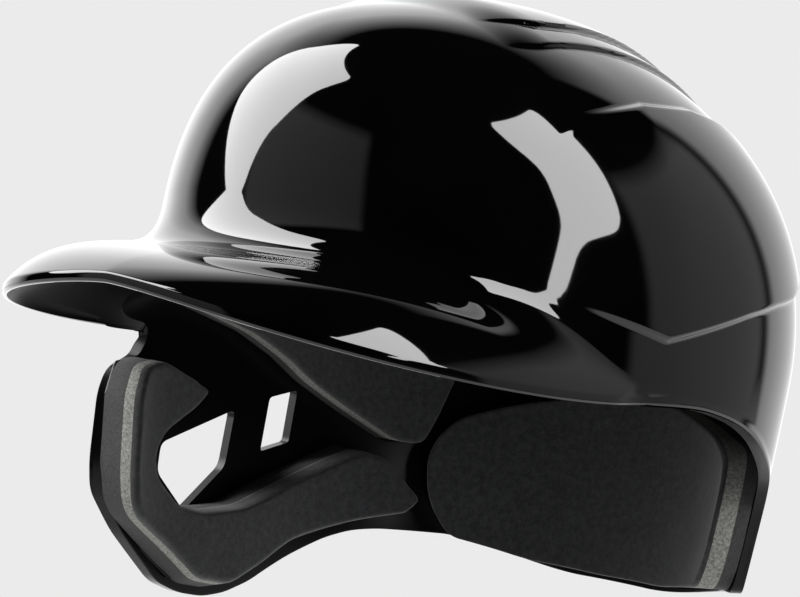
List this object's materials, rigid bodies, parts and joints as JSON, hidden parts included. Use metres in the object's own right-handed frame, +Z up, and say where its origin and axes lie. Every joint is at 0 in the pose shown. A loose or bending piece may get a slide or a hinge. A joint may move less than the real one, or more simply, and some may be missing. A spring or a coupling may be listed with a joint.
{
  "type": "batting helmet",
  "caption": "Hard glossy batting helmet with a wide brim, an ear flap with an ear hole on the wearer's right, and laminated foam pads inside.",
  "frame": {"origin": "below the middle of the helmet, level with the lowest edge of the ear flap", "axes": "+X to the wearer's left, +Y to the back of the head, +Z up to the crown; the brim points to -Y"},
  "size_m": [0.2061, 0.3092, 0.222],
  "materials": {
    "shell": "high-gloss moulded black ABS",
    "film": "thin black adhesive film",
    "base_foam": "dense dark grey closed-cell foam",
    "comfort_foam": "light grey speckled soft foam",
    "fabric": "black brushed knit"
  },
  "bodies": {
    "root": {"shell": "shell", "front_pad_film": "film", "front_pad_base_foam": "base_foam", "front_pad_comfort_foam": "comfort_foam", "front_pad_fabric": "fabric", "left_pad_film": "film", "left_pad_base_foam": "base_foam", "left_pad_comfort_foam": "comfort_foam", "left_pad_fabric": "fabric", "right_pad_film": "film", "right_pad_base_foam": "base_foam", "right_pad_comfort_foam": "comfort_foam", "right_pad_fabric": "fabric", "rear_pad_film": "film", "rear_pad_base_foam": "base_foam", "rear_pad_comfort_foam": "comfort_foam", "rear_pad_fabric": "fabric", "crown_pad_film": "film", "crown_pad_base_foam": "base_foam", "crown_pad_comfort_foam": "comfort_foam", "crown_pad_fabric": "fabric", "nape_pad_film": "film", "nape_pad_base_foam": "base_foam", "nape_pad_comfort_foam": "comfort_foam", "nape_pad_fabric": "fabric", "ear_pad_film": "film", "ear_pad_base_foam": "base_foam", "ear_pad_comfort_foam": "comfort_foam", "ear_pad_fabric": "fabric"}
  },
  "joints": []
}
